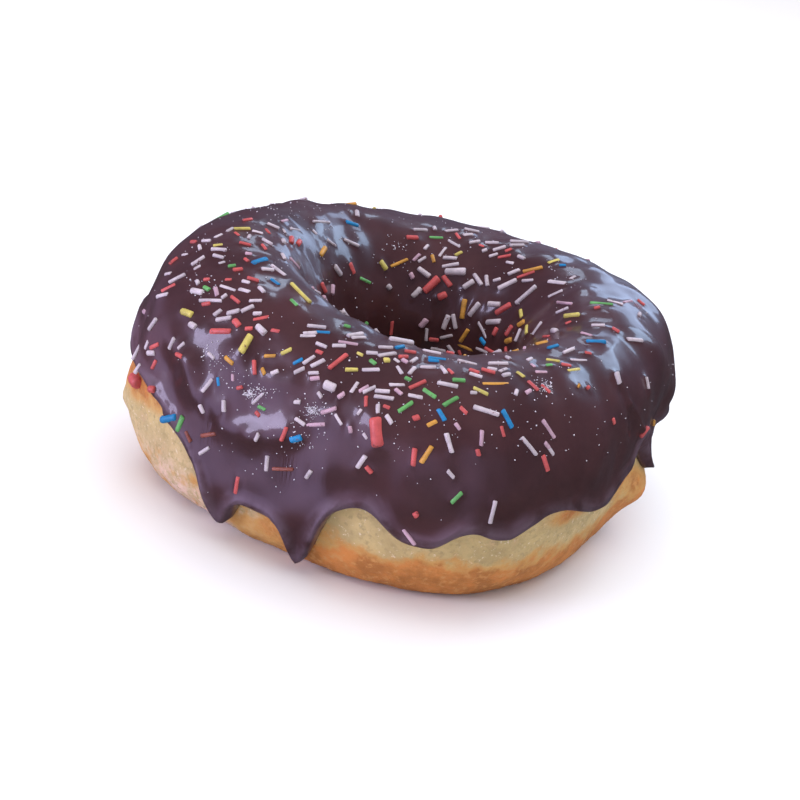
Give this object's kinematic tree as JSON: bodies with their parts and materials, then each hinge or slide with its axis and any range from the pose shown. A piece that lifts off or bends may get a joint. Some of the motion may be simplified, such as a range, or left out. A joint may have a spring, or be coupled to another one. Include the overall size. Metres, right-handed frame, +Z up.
{
  "type": "ring doughnut",
  "caption": "Ring doughnut with glossy dark chocolate icing that runs down its side in drips, and sugar sprinkles in mixed colours; rests flat on its underside.",
  "frame": {"origin": "on the surface that the doughnut rests on, under the middle of its outline", "axes": "+Z up, out of the icing; -Y towards the side that the picture shows in front"},
  "size_m": [0.1036, 0.1022, 0.0477],
  "materials": {
    "dough": "matte fried dough, pale cream band under the icing and golden brown towards the underside",
    "icing": "glossy dark chocolate icing with sugar sprinkles in white, pink, red, orange, yellow, green and blue"
  },
  "bodies": {
    "root": {"dough": "dough", "icing": "icing"}
  },
  "joints": []
}
